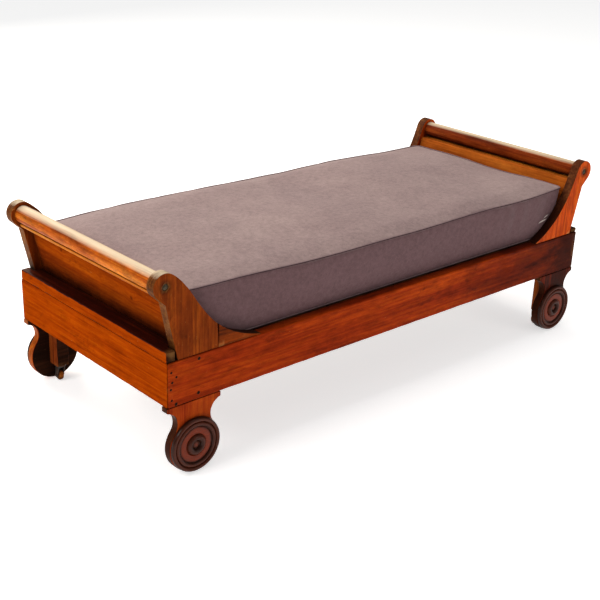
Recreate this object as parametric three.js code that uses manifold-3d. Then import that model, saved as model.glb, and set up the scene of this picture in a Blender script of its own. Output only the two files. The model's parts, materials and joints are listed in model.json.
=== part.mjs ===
// A wooden daybed: four boards make a box, scrolled supports, slanted panels and round
// crest rolls make its two ends, keyhole feet with turned roundels hide four casters, and a
// loose mattress lies on boards. Millimetres, +Z up. The length runs along X with the head
// end at -X and the foot end at +X, the front rail is at -Y, and the origin is on the floor
// under the middle of the bed.

import * as THREE from 'three';
import { mergeVertices } from 'three/addons/utils/BufferGeometryUtils.js';
import Module from 'manifold-3d';

const wasm = await Module();
wasm.setup();

// Clearance between pieces that touch, and how near two corners are when they are one.
const GAP = 0.3;
const MERGE_WITHIN = 1e-4;

// Box of boards.
const LENGTH = 1900;
const WIDTH = 812;
const BOARD = 40;
const RAIL_BOTTOM = 235;
const RAIL_TOP = 376.5;
const MITRE_RELIEF = 0.2;
const HALF_LENGTH = LENGTH / 2;
const HALF_WIDTH = WIDTH / 2;

// Scroll supports. Distances called "in" run from the end of the box towards its middle.
const SUPPORT_SET_BACK = 4;
const SUPPORT_THICKNESS = 34;
const SUPPORT_OUTER_Y = HALF_WIDTH - SUPPORT_SET_BACK;
const SUPPORT_INNER_Y = SUPPORT_OUTER_Y - SUPPORT_THICKNESS;
const SCROLL_IN = 0;
const SCROLL_Z = 608;
const SCROLL_RADIUS = 40;
const NOTCH_IN = 0;
const NOTCH_Z = 553;
const OUTER_SLOPE = -0.23;
const TIP_THICKNESS = 1.3;
const EDGE_STEPS = 10;
const CIRCLE_SIDES = 16;

// The head support sweeps out into a long toe, the foot support stops short.
const HEAD_EDGE = {
  leaveAngle: 60,
  firstPull: 111,
  secondPull: { in: 119, z: 423 },
  tip: { in: 345, z: RAIL_TOP + TIP_THICKNESS },
};
const FOOT_EDGE = {
  leaveAngle: 20,
  firstPull: 103,
  secondPull: { in: 119, z: 432 },
  tip: { in: 245, z: RAIL_TOP + TIP_THICKNESS },
};
const TOE_START_IN = 187;

// Crest rolls, the pegs that hold them and the rail under each roll.
const ROLL_RADIUS = 28;
const PEG_RADIUS = 10;
const PEG_IN_ROLL = 30;
const PEG_RECESS = 2;
const ROLL_RAIL_FRONT_IN = -12;
const ROLL_RAIL_HEIGHT = 10.5;

// Slanted end panels and the ledge planks outside them.
const PANEL_SET_BACK = 28.8;
const PANEL_THICKNESS = 20.6;
const PANEL_TOP = 578;
const HEAD_LEDGE = 34;
const FOOT_LEDGE = 15;
const LEDGE_DEPTH = 60.5;
const LEDGE_HORN_DEPTH = 31.5;

// Keyhole feet and their turned roundels.
const FOOT_IN = 96;
const FOOT_BOARD = 28;
const DISC_Z = 91.5;
const DISC_RADIUS = 88.5;
const COVE_OUT = 106;
const COVE_Z = 174;
const SHOULDER_HALF = 97;
const ROUNDEL_RADIUS = 87;
const ROUNDEL_RIM = { inner: 0.73, outer: 1, foot: 5, crest: 16 };
const ROUNDEL_RING = { inner: 0.4, outer: 0.65, foot: 5, crest: 11 };
const ROUNDEL_BOSS = { inner: 0.15, outer: 0.32, foot: 4, crest: 13 };
const ROUNDEL_DISH = 6;
const RING_STEPS = 4;
const TURNED_SIDES = 24;

// Corner posts.
const POST_WIDTH = 44;
const POST_INNER = 78;
const POST_BOTTOM = 62;
const POST_TOP = 333.5;

// Casters. Each trails its wheel towards +Y, as after a pull from the back.
const SWIVEL_IN_FROM_FACE = 58;
const CASTER_TRAIL = 8;
const WHEEL_RADIUS = 18;
const WHEEL_WIDTH = 18;
const WHEEL_BORE = 3.4;
const WHEEL_HUB = 8;
const HUB_STEP = 1;
const WHEEL_CHAMFER = { in: 3, along: 4 };
const AXLE_RADIUS = 3;
const AXLE_HEAD_RADIUS = 5;
const AXLE_HEAD = 2.2;
const CHEEK = 3;
const CHEEK_CLEARANCE = 1;
const CHEEK_BOSS = 7;
const HORN_WEB = 7;
const HORN_BACK = -10;
const HORN_FRONT = CASTER_TRAIL + 4;
const OVERLAP = 1;
const STEM_RADIUS = 5;
const STEM_CLEARANCE = 0.3;
const STEM_IN_POST = 24;
const PLATE_RADIUS = 20;
const PLATE_THICKNESS = 3.3;

// Cleats, base boards and mattress.
const CLEAT_WIDTH = 28;
const CLEAT_HEIGHT = 24;
const CLEAT_HALF_LENGTH = 905;
const BASE_COUNT = 6;
const BASE_WIDTH = 296;
const BASE_THICKNESS = 17.7;
const BASE_SPACE = 4;
const MATTRESS_HALF_LENGTH = 855;
const MATTRESS_BOTTOM = RAIL_TOP + 1;
const MATTRESS_HEAD_TOP = 562;
const MATTRESS_FOOT_TOP = 552;
const MATTRESS_BOTTOM_HALF = 352;
const MATTRESS_TOP_HALF = 364;
const MATTRESS_SIDE_BULGE = 20;
const MATTRESS_CROWN = 12;
const MATTRESS_CELLS = { along: 20, across: 6, up: 3 };

const ENDS = [
  { name: 'head', side: -1, edge: HEAD_EDGE, ledge: HEAD_LEDGE },
  { name: 'foot', side: 1, edge: FOOT_EDGE, ledge: FOOT_LEDGE },
];
const SIDES = [
  { name: 'front', side: -1 },
  { name: 'back', side: 1 },
];

const daybed = new THREE.Group();

// ---- finishes -------------------------------------------------------------------------

function finish(color, roughness, metalness = 0) {
  return { color, roughness, metalness };
}

const RAIL_WOOD = finish(0x96320f, 0.32);
const END_WOOD = finish(0xb8560f, 0.32);
const SCROLL_WOOD = finish(0xaa4110, 0.3);
const PANEL_WOOD = finish(0x96501a, 0.35);
const LEDGE_WOOD = finish(0x50190f, 0.35);
const ROUNDEL_WOOD = finish(0x3c1e16, 0.3);
const HIDDEN_WOOD = finish(0x6b4426, 0.7);
const WHEEL_WOOD = finish(0x3a2418, 0.5);
const PEG_WOOD = finish(0x241510, 0.5);
const IRON = finish(0x2b2a2a, 0.55, 0.9);
const FABRIC = finish(0x8c7c80, 0.95);

function addPiece(parent, name, geometry, look) {
  const mesh = new THREE.Mesh(geometry, new THREE.MeshStandardMaterial(look));
  mesh.name = name;
  parent.add(mesh);
  return mesh;
}

// ---- solids ---------------------------------------------------------------------------

function toSolid(geometry) {
  const bare = geometry.clone();
  bare.deleteAttribute('normal');
  bare.deleteAttribute('uv');
  const merged = mergeVertices(bare, MERGE_WITHIN);
  const mesh = new wasm.Mesh({
    numProp: 3,
    vertProperties: new Float32Array(merged.attributes.position.array),
    triVerts: new Uint32Array(merged.index.array),
  });
  return new wasm.Manifold(mesh);
}

function toGeometry(solid) {
  const mesh = solid.getMesh();
  const geometry = new THREE.BufferGeometry();
  geometry.setAttribute('position', new THREE.BufferAttribute(mesh.vertProperties, 3));
  geometry.setIndex(new THREE.BufferAttribute(mesh.triVerts, 1));
  geometry.computeVertexNormals();
  return geometry;
}

function box(x0, x1, y0, y1, z0, z1) {
  const geometry = new THREE.BoxGeometry(x1 - x0, y1 - y0, z1 - z0);
  geometry.translate((x0 + x1) / 2, (y0 + y1) / 2, (z0 + z1) / 2);
  return geometry;
}

// An XZ outline made solid between two Y positions.
function extrudeAlongY(shape, y0, y1) {
  const geometry = new THREE.ExtrudeGeometry(shape, { depth: y1 - y0, bevelEnabled: false });
  geometry.rotateX(Math.PI / 2);
  geometry.translate(0, y1, 0);
  return geometry;
}

// A YZ outline made solid between two X positions.
function extrudeAlongX(shape, x0, x1) {
  const geometry = new THREE.ExtrudeGeometry(shape, { depth: x1 - x0, bevelEnabled: false });
  const turn = new THREE.Matrix4().makeBasis(
    new THREE.Vector3(0, 1, 0),
    new THREE.Vector3(0, 0, 1),
    new THREE.Vector3(1, 0, 0),
  );
  geometry.applyMatrix4(turn);
  geometry.translate(x0, 0, 0);
  return geometry;
}

// An XY outline made solid between two heights.
function extrudeUp(shape, z0, z1) {
  const geometry = new THREE.ExtrudeGeometry(shape, { depth: z1 - z0, bevelEnabled: false });
  geometry.translate(0, 0, z0);
  return geometry;
}

function outline(points) {
  return new THREE.Shape(points.map(([x, y]) => new THREE.Vector2(x, y)));
}

// A shape drawn with distances "in" from the end of the box, moved to the end it is for. At
// the foot that mirrors it, so its points are put back in anticlockwise order.
function placeAtEnd(shape, side) {
  const place = (points) => {
    const placed = points.map((point) => new THREE.Vector2(side * (HALF_LENGTH - point.x), point.y));
    return side > 0 ? placed.reverse() : placed;
  };
  const drawn = shape.extractPoints(EDGE_STEPS);
  const moved = new THREE.Shape(place(drawn.shape));
  moved.holes = drawn.holes.map((hole) => new THREE.Path(place(hole)));
  return moved;
}

// The corners of a regular polygon that stands for a circle.
function circle(across, up, radius, sides = CIRCLE_SIDES) {
  const points = [];
  for (let i = 0; i < sides; i += 1) {
    const angle = (2 * Math.PI * i) / sides;
    points.push(new THREE.Vector2(across + radius * Math.cos(angle), up + radius * Math.sin(angle)));
  }
  return points;
}

function upright(radius, z0, z1, sides = CIRCLE_SIDES) {
  const geometry = new THREE.CylinderGeometry(radius, radius, z1 - z0, sides);
  geometry.rotateX(Math.PI / 2);
  geometry.translate(0, 0, (z0 + z1) / 2);
  return geometry;
}

function turned(profile, sides) {
  return new THREE.LatheGeometry(
    profile.map(([radius, along]) => new THREE.Vector2(radius, along)),
    sides,
  );
}

// ---- box of boards --------------------------------------------------------------------

// Both kinds of board are mitred at the corners.
function addRail({ name, side }) {
  const end = HALF_LENGTH - MITRE_RELIEF;
  const shape = outline([
    [-end, side * HALF_WIDTH],
    [end, side * HALF_WIDTH],
    [end - BOARD, side * (HALF_WIDTH - BOARD)],
    [BOARD - end, side * (HALF_WIDTH - BOARD)],
  ]);
  addPiece(daybed, `${name}_rail`, extrudeUp(shape, RAIL_BOTTOM, RAIL_TOP), RAIL_WOOD);
}

function addEndBoard({ name, side }) {
  const end = HALF_WIDTH - MITRE_RELIEF;
  const shape = outline([
    [side * HALF_LENGTH, -end],
    [side * HALF_LENGTH, end],
    [side * (HALF_LENGTH - BOARD), end - BOARD],
    [side * (HALF_LENGTH - BOARD), BOARD - end],
  ]);
  addPiece(daybed, `${name}_end_board`, extrudeUp(shape, RAIL_BOTTOM, RAIL_TOP), END_WOOD);
}

// A plank on the end board, notched at both ends around the feet of the supports.
function addLedge({ name, side, ledge }) {
  const place = (inward) => side * (HALF_LENGTH - inward);
  const notchY = SUPPORT_INNER_Y - GAP;
  const shape = outline([
    [place(0), -SUPPORT_OUTER_Y],
    [place(0), SUPPORT_OUTER_Y],
    [place(LEDGE_HORN_DEPTH), SUPPORT_OUTER_Y],
    [place(LEDGE_HORN_DEPTH), notchY],
    [place(LEDGE_DEPTH), notchY],
    [place(LEDGE_DEPTH), -notchY],
    [place(LEDGE_HORN_DEPTH), -notchY],
    [place(LEDGE_HORN_DEPTH), -SUPPORT_OUTER_Y],
  ]);
  const solid = extrudeUp(shape, RAIL_TOP + GAP, RAIL_TOP + ledge);
  addPiece(daybed, `${name}_ledge_cap`, solid, LEDGE_WOOD);
}

// ---- scrolled ends --------------------------------------------------------------------

function onScroll(degrees) {
  const angle = THREE.MathUtils.degToRad(degrees);
  return {
    in: SCROLL_IN + SCROLL_RADIUS * Math.cos(angle),
    z: SCROLL_Z + SCROLL_RADIUS * Math.sin(angle),
  };
}

function outerEdgeIn(z) {
  return NOTCH_IN + OUTER_SLOPE * (z - NOTCH_Z);
}

// The hollow inner edge: it leaves the scroll along its tangent and flattens onto the rail.
function innerEdge(edge) {
  const start = onScroll(edge.leaveAngle);
  const angle = THREE.MathUtils.degToRad(edge.leaveAngle);
  return new THREE.CubicBezierCurve(
    new THREE.Vector2(start.in, start.z),
    new THREE.Vector2(
      start.in + edge.firstPull * Math.sin(angle),
      start.z - edge.firstPull * Math.cos(angle),
    ),
    new THREE.Vector2(edge.secondPull.in, edge.secondPull.z),
    new THREE.Vector2(edge.tip.in, edge.tip.z),
  );
}

// The place where a straight line from the notch touches the scroll's circle.
function notchTangentAngle() {
  const distance = Math.hypot(NOTCH_IN - SCROLL_IN, NOTCH_Z - SCROLL_Z);
  const towardsNotch = Math.atan2(NOTCH_Z - SCROLL_Z, NOTCH_IN - SCROLL_IN);
  return towardsNotch - Math.acos(SCROLL_RADIUS / distance);
}

function supportOutline(edge, stopIn) {
  const bottom = RAIL_TOP + GAP;
  const shape = new THREE.Shape();
  const leave = THREE.MathUtils.degToRad(edge.leaveAngle);
  shape.absarc(SCROLL_IN, SCROLL_Z, SCROLL_RADIUS, leave, notchTangentAngle() + 2 * Math.PI, false);
  shape.lineTo(NOTCH_IN, NOTCH_Z);
  shape.lineTo(outerEdgeIn(bottom), bottom);
  shape.lineTo(Math.min(stopIn, edge.tip.in), bottom);
  const curve = innerEdge(edge).getPoints(2 * EDGE_STEPS).filter((point) => point.x < stopIn);
  for (const point of curve.reverse().slice(0, -1)) {
    shape.lineTo(point.x, point.y);
  }
  shape.holes.push(new THREE.Path(circle(SCROLL_IN, SCROLL_Z, PEG_RADIUS + GAP)));
  return shape;
}

function toeOutline(edge) {
  const bottom = RAIL_TOP + GAP;
  const start = TOE_START_IN + GAP;
  const curve = innerEdge(edge).getPoints(2 * EDGE_STEPS).filter((point) => point.x > start);
  const first = curve[0];
  const second = curve[1];
  const slope = (second.y - first.y) / (second.x - first.x);
  const shape = new THREE.Shape();
  shape.moveTo(start, bottom);
  shape.lineTo(edge.tip.in, bottom);
  for (const point of curve.reverse()) {
    shape.lineTo(point.x, point.y);
  }
  shape.lineTo(start, first.y + slope * (start - first.x));
  return shape;
}

function addSupports(end) {
  const hasToe = end.name === 'head';
  const stopIn = hasToe ? TOE_START_IN : Infinity;
  for (const front of SIDES) {
    const y0 = Math.min(front.side * SUPPORT_INNER_Y, front.side * SUPPORT_OUTER_Y);
    const y1 = y0 + SUPPORT_THICKNESS;
    const shape = placeAtEnd(supportOutline(end.edge, stopIn), end.side);
    addPiece(daybed, `${end.name}_${front.name}_scroll`, extrudeAlongY(shape, y0, y1), SCROLL_WOOD);
    if (hasToe) {
      const toe = placeAtEnd(toeOutline(end.edge), end.side);
      const name = `${end.name}_${front.name}_scroll_toe`;
      addPiece(daybed, name, extrudeAlongY(toe, y0, y1), SCROLL_WOOD);
    }
  }
}

function addPanel({ name, side }) {
  const outer = (z) => outerEdgeIn(z) + PANEL_SET_BACK;
  const bottom = RAIL_TOP + GAP;
  const shape = outline([
    [outer(bottom), bottom],
    [outer(bottom) + PANEL_THICKNESS, bottom],
    [outer(PANEL_TOP) + PANEL_THICKNESS, PANEL_TOP],
    [outer(PANEL_TOP), PANEL_TOP],
  ]);
  const reach = SUPPORT_INNER_Y - GAP;
  const solid = extrudeAlongY(placeAtEnd(shape, side), -reach, reach);
  addPiece(daybed, `${name}_panel`, solid, PANEL_WOOD);
}

// A thin rail that carries the roll and closes the space between it and the panel.
function addRollRail({ name, side }) {
  const top = SCROLL_Z - ROLL_RADIUS - GAP;
  const bottom = top - ROLL_RAIL_HEIGHT;
  const panelFace = (z) => outerEdgeIn(z) + PANEL_SET_BACK - GAP;
  const shape = outline([
    [ROLL_RAIL_FRONT_IN, bottom],
    [panelFace(bottom), bottom],
    [panelFace(top), top],
    [ROLL_RAIL_FRONT_IN, top],
  ]);
  const reach = SUPPORT_INNER_Y - GAP;
  const solid = extrudeAlongY(placeAtEnd(shape, side), -reach, reach);
  addPiece(daybed, `${name}_roll_rail`, solid, PANEL_WOOD);
}

function addRoll({ name, side }) {
  const reach = SUPPORT_INNER_Y - GAP;
  const socket = PEG_RADIUS + GAP;
  const floor = reach - PEG_IN_ROLL - GAP;
  const geometry = turned([
    [0, -floor],
    [socket, -floor],
    [socket, -reach],
    [ROLL_RADIUS, -reach],
    [ROLL_RADIUS, reach],
    [socket, reach],
    [socket, floor],
    [0, floor],
  ], TURNED_SIDES);
  const roll = addPiece(daybed, `${name}_roll`, geometry, SCROLL_WOOD);
  roll.position.set(side * (HALF_LENGTH - SCROLL_IN), 0, SCROLL_Z);
}

function addPegs(end) {
  const outer = SUPPORT_OUTER_Y - PEG_RECESS;
  const inner = SUPPORT_INNER_Y - PEG_IN_ROLL;
  for (const front of SIDES) {
    const geometry = new THREE.CylinderGeometry(PEG_RADIUS, PEG_RADIUS, outer - inner, CIRCLE_SIDES);
    const peg = addPiece(daybed, `${end.name}_${front.name}_scroll_peg`, geometry, PEG_WOOD);
    peg.position.set(
      end.side * (HALF_LENGTH - SCROLL_IN),
      front.side * (outer + inner) / 2,
      SCROLL_Z,
    );
  }
}

// ---- feet -----------------------------------------------------------------------------

// A keyhole: a square shoulder, two coves that pinch the neck, and a disc below.
function footOutline() {
  const top = RAIL_BOTTOM - GAP;
  const coveRadius = Math.hypot(COVE_OUT, COVE_Z - DISC_Z) - DISC_RADIUS;
  const shoulderRise = Math.sqrt(coveRadius ** 2 - (COVE_OUT - SHOULDER_HALF) ** 2);
  const towardsCove = Math.atan2(COVE_Z - DISC_Z, COVE_OUT);
  const shoulderAngle = Math.atan2(shoulderRise, SHOULDER_HALF - COVE_OUT);
  const right = FOOT_IN + COVE_OUT;
  const left = FOOT_IN - COVE_OUT;
  const shape = new THREE.Shape();
  shape.moveTo(FOOT_IN - SHOULDER_HALF, top);
  shape.lineTo(FOOT_IN + SHOULDER_HALF, top);
  shape.absarc(right, COVE_Z, coveRadius, shoulderAngle, Math.PI + towardsCove, false);
  shape.absarc(FOOT_IN, DISC_Z, DISC_RADIUS, towardsCove, Math.PI - towardsCove, true);
  shape.absarc(left, COVE_Z, coveRadius, -towardsCove, Math.PI - shoulderAngle, false);
  return shape;
}

// A rounded ring on the face of a roundel, as points of the turning profile.
function ringProfile({ inner, outer, foot, crest }) {
  const middle = (ROUNDEL_RADIUS * (inner + outer)) / 2;
  const half = (ROUNDEL_RADIUS * (outer - inner)) / 2;
  const points = [];
  for (let i = 0; i <= RING_STEPS; i += 1) {
    const angle = (Math.PI * i) / RING_STEPS;
    points.push([middle + half * Math.cos(angle), foot + (crest - foot) * Math.sin(angle)]);
  }
  return points;
}

// The turned bullseye: rim, ring and boss with grooves between and a dished centre. The
// profile starts at the back of the centre and comes round over the rim to the dish.
function roundelProfile() {
  return [
    [0, GAP],
    [ROUNDEL_RADIUS, GAP],
    ...ringProfile(ROUNDEL_RIM),
    ...ringProfile(ROUNDEL_RING),
    ...ringProfile(ROUNDEL_BOSS),
    [0, ROUNDEL_DISH],
  ];
}

function addFoot(end, front) {
  const stem = `${end.name}_${front.name}`;
  const face = front.side * HALF_WIDTH;
  const back = front.side * (HALF_WIDTH - FOOT_BOARD);
  const shape = placeAtEnd(footOutline(), end.side);
  const board = extrudeAlongY(shape, Math.min(face, back), Math.max(face, back));
  addPiece(daybed, `${stem}_foot_board`, board, RAIL_WOOD);

  const disc = turned(roundelProfile(), TURNED_SIDES);
  const roundel = addPiece(daybed, `${stem}_roundel`, disc, ROUNDEL_WOOD);
  roundel.position.set(end.side * (HALF_LENGTH - FOOT_IN), face, DISC_Z);
  roundel.rotation.z = front.side < 0 ? Math.PI : 0;
}

// A post rebated to lie behind both the rail and the thinner foot board, bored for a stem.
function addPost(end, front) {
  const place = (depth) => front.side * (HALF_WIDTH - depth);
  const shape = outline([
    [place(FOOT_BOARD + GAP), POST_BOTTOM],
    [place(POST_INNER), POST_BOTTOM],
    [place(POST_INNER), POST_TOP],
    [place(BOARD + GAP), POST_TOP],
    [place(BOARD + GAP), RAIL_BOTTOM - GAP],
    [place(FOOT_BOARD + GAP), RAIL_BOTTOM - GAP],
  ]);
  const middle = end.side * (HALF_LENGTH - FOOT_IN);
  const post = extrudeAlongX(shape, middle - POST_WIDTH / 2, middle + POST_WIDTH / 2);
  const boreTop = POST_BOTTOM + STEM_IN_POST + GAP;
  const bore = upright(STEM_RADIUS + STEM_CLEARANCE, POST_BOTTOM - OVERLAP, boreTop);
  bore.translate(middle, place(SWIVEL_IN_FROM_FACE), 0);
  const bored = toGeometry(toSolid(post).subtract(toSolid(bore)));
  addPiece(daybed, `${end.name}_${front.name}_post`, bored, HIDDEN_WOOD);
}

// ---- casters, drawn with the swivel axis on Z and the wheel trailing towards +X ---------

function plateGeometry() {
  const shape = new THREE.Shape(circle(0, 0, PLATE_RADIUS));
  shape.holes.push(new THREE.Path(circle(0, 0, STEM_RADIUS + STEM_CLEARANCE)));
  const top = POST_BOTTOM - GAP;
  return extrudeUp(shape, top - PLATE_THICKNESS, top);
}

function hornGeometry() {
  const top = POST_BOTTOM - GAP - PLATE_THICKNESS - GAP;
  const webBottom = top - HORN_WEB;
  const inner = WHEEL_WIDTH / 2 + CHEEK_CLEARANCE;
  const outer = inner + CHEEK;
  const cheek = new THREE.Shape();
  cheek.moveTo(HORN_BACK, top - HORN_WEB / 2);
  cheek.lineTo(HORN_FRONT, top - HORN_WEB / 2);
  cheek.absarc(CASTER_TRAIL, WHEEL_RADIUS, CHEEK_BOSS, 0, Math.PI, true);
  cheek.holes.push(new THREE.Path(circle(CASTER_TRAIL, WHEEL_RADIUS, AXLE_RADIUS + GAP)));
  let solid = toSolid(box(HORN_BACK, HORN_FRONT, -outer, outer, webBottom, top));
  solid = solid.add(toSolid(extrudeAlongY(cheek, -outer, -inner)));
  solid = solid.add(toSolid(extrudeAlongY(cheek, inner, outer)));
  solid = solid.add(toSolid(upright(STEM_RADIUS, webBottom + OVERLAP, POST_BOTTOM + STEM_IN_POST)));
  return toGeometry(solid);
}

function axleGeometry() {
  const shank = WHEEL_WIDTH / 2 + CHEEK_CLEARANCE + CHEEK + GAP;
  const tip = shank + AXLE_HEAD;
  return turned([
    [0, -tip],
    [AXLE_HEAD_RADIUS, -tip],
    [AXLE_HEAD_RADIUS, -shank],
    [AXLE_RADIUS, -shank],
    [AXLE_RADIUS, shank],
    [AXLE_HEAD_RADIUS, shank],
    [AXLE_HEAD_RADIUS, tip],
    [0, tip],
  ], CIRCLE_SIDES);
}

function wheelGeometry() {
  const half = WHEEL_WIDTH / 2;
  const rim = half - HUB_STEP;
  const shoulder = WHEEL_RADIUS - WHEEL_CHAMFER.in;
  const tread = rim - WHEEL_CHAMFER.along;
  return turned([
    [WHEEL_BORE, -half],
    [WHEEL_HUB, -half],
    [WHEEL_HUB, -rim],
    [shoulder, -rim],
    [WHEEL_RADIUS, -tread],
    [WHEEL_RADIUS, tread],
    [shoulder, rim],
    [WHEEL_HUB, rim],
    [WHEEL_HUB, half],
    [WHEEL_BORE, half],
    [WHEEL_BORE, -half],
  ], TURNED_SIDES);
}

function addCaster(end, front) {
  const stem = `${end.name}_${front.name}_caster`;
  const caster = new THREE.Group();
  caster.position.set(
    end.side * (HALF_LENGTH - FOOT_IN),
    front.side * (HALF_WIDTH - SWIVEL_IN_FROM_FACE),
    0,
  );
  caster.rotation.z = Math.PI / 2;
  daybed.add(caster);
  addPiece(caster, `${stem}_plate`, plateGeometry(), IRON);
  addPiece(caster, `${stem}_horn`, hornGeometry(), IRON);
  const axle = addPiece(caster, `${stem}_axle`, axleGeometry(), IRON);
  axle.position.set(CASTER_TRAIL, 0, WHEEL_RADIUS);
  const wheel = addPiece(caster, `${stem}_wheel`, wheelGeometry(), WHEEL_WOOD);
  wheel.position.set(CASTER_TRAIL, 0, WHEEL_RADIUS);
}

// ---- bed base and mattress ------------------------------------------------------------

function addCleat({ name, side }) {
  const top = RAIL_TOP - BASE_THICKNESS - GAP;
  const outer = side * (HALF_WIDTH - BOARD - GAP);
  const inner = outer - side * CLEAT_WIDTH;
  const geometry = box(
    -CLEAT_HALF_LENGTH,
    CLEAT_HALF_LENGTH,
    Math.min(outer, inner),
    Math.max(outer, inner),
    top - CLEAT_HEIGHT,
    top,
  );
  addPiece(daybed, `${name}_cleat`, geometry, HIDDEN_WOOD);
}

// Wide boards laid across the cleats, with a small space between neighbours.
function addBase() {
  const reach = HALF_WIDTH - BOARD - GAP;
  const pitch = BASE_WIDTH + BASE_SPACE;
  for (let i = 0; i < BASE_COUNT; i += 1) {
    const x = (i - (BASE_COUNT - 1) / 2) * pitch;
    const geometry = box(
      x - BASE_WIDTH / 2,
      x + BASE_WIDTH / 2,
      -reach,
      reach,
      RAIL_TOP - BASE_THICKNESS,
      RAIL_TOP,
    );
    addPiece(daybed, `base_board_${i + 1}`, geometry, HIDDEN_WOOD);
  }
}

// Thicker at the head than at the foot, with leaning sides, a bulge between the supports and
// a low crown on top.
function addMattress() {
  const { along: cellsAlong, across: cellsAcross, up: cellsUp } = MATTRESS_CELLS;
  const geometry = new THREE.BoxGeometry(2, 2, 1, cellsAlong, cellsAcross, cellsUp);
  const position = geometry.attributes.position;
  for (let i = 0; i < position.count; i += 1) {
    const along = position.getX(i);
    const across = position.getY(i);
    const up = position.getZ(i) + 0.5;
    const edgeTop = THREE.MathUtils.lerp(MATTRESS_HEAD_TOP, MATTRESS_FOOT_TOP, (along + 1) / 2);
    const crown = MATTRESS_CROWN * (1 - along ** 4) * (1 - across ** 2);
    const topHalf = MATTRESS_TOP_HALF + MATTRESS_SIDE_BULGE * (1 - along ** 4);
    const half = THREE.MathUtils.lerp(MATTRESS_BOTTOM_HALF, topHalf, up);
    position.setXYZ(
      i,
      MATTRESS_HALF_LENGTH * along,
      half * across,
      MATTRESS_BOTTOM + up * (edgeTop + crown - MATTRESS_BOTTOM),
    );
  }
  geometry.computeVertexNormals();
  addPiece(daybed, 'mattress', geometry, FABRIC);
}

// ---- assembly -------------------------------------------------------------------------

for (const front of SIDES) {
  addRail(front);
  addCleat(front);
}
for (const end of ENDS) {
  addEndBoard(end);
  addLedge(end);
  addSupports(end);
  addPanel(end);
  addRollRail(end);
  addRoll(end);
  addPegs(end);
  for (const front of SIDES) {
    addFoot(end, front);
    addPost(end, front);
    addCaster(end, front);
  }
}
addBase();
addMattress();

export default daybed;
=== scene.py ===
import json
import math

import bmesh
import bpy
from mathutils import Matrix, Vector, noise

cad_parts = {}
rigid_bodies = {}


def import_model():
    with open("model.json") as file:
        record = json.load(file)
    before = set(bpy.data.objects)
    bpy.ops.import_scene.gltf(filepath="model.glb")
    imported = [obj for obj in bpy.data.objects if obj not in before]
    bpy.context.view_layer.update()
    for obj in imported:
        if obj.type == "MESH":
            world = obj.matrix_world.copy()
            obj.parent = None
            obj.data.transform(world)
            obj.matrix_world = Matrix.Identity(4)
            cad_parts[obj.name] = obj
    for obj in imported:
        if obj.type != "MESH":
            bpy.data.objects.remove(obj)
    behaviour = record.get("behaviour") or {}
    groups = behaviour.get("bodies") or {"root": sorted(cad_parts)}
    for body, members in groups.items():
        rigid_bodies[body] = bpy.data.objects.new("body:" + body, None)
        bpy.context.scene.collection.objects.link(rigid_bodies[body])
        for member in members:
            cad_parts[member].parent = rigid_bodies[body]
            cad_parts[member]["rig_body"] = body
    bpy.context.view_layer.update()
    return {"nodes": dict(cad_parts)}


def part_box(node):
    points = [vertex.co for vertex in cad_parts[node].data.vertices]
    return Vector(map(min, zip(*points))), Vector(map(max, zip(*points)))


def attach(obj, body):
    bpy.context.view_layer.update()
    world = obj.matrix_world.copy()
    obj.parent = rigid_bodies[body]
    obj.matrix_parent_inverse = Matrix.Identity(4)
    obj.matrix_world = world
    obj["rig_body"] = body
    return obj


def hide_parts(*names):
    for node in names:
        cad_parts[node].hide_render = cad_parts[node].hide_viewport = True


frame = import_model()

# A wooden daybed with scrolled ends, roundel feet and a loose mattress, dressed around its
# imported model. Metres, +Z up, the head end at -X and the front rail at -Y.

MM = 0.001
HEAD, FOOT = -1, 1
ENDS = {"head": HEAD, "foot": FOOT}
SIDES = {"front": -1, "back": 1}

# Camera.
CAMERA_AT = (-2.6464, -2.7745, 1.7910)
CAMERA_AZIMUTH = math.radians(-41.20)
CAMERA_ELEVATION = math.radians(24.13)
CAMERA_ROLL = math.radians(1.70)
CAMERA_SHIFT = 0.05
LENS_MM = 69.42

# Places taken from the frame.
HALF_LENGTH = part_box("foot_end_board")[1].x
HALF_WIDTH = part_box("back_rail")[1].y
RAIL_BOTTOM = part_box("front_rail")[0].z
RAIL_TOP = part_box("front_rail")[1].z
SCROLL_Z = sum(corner.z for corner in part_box("foot_front_scroll_peg")) / 2
SCROLL_IN = HALF_LENGTH - sum(corner.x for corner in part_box("foot_front_scroll_peg")) / 2
SCROLL_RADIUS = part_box("foot_front_scroll")[1].z - SCROLL_Z
SUPPORT_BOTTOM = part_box("foot_front_scroll")[0].z
SUPPORT_INNER_Y = -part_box("foot_front_scroll")[1].y
SUPPORT_OUTER_Y = -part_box("foot_front_scroll")[0].y
ROLL_RADIUS = (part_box("head_roll")[1].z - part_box("head_roll")[0].z) / 2
DISC_Z = sum(corner.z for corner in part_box("foot_back_roundel")) / 2
FOOT_IN = HALF_LENGTH - sum(corner.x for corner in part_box("foot_back_roundel")) / 2
ROUNDEL_RADIUS = (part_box("foot_back_roundel")[1].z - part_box("foot_back_roundel")[0].z) / 2
ROUNDEL_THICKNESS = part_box("foot_back_roundel")[1].y - HALF_WIDTH
MATTRESS_LOW, MATTRESS_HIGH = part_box("mattress")

# Scroll supports, as distances in from the end of the box of boards and heights.
NOTCH_IN = 0.0
NOTCH_Z = 0.553
OUTER_SLOPE = -0.23
PEG_HOLE_RADIUS = 0.0103
PEG_ARRIS = 0.0015
PEG_DOME = 0.0008
TOE_START_IN = 0.187
BUTT_GAP = 0.3 * MM
JOINT_MARGIN = 0.004
SUPPORT_ARRIS = 0.0016
TOE_ARRIS = 0.0012
HEAD_EDGE = {"leave": 60, "pull": 0.111, "second": (0.119, 0.423), "tip": (0.345, 0.3778)}
FOOT_EDGE = {"leave": 20, "pull": 0.103, "second": (0.119, 0.432), "tip": (0.245, 0.3778)}

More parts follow.
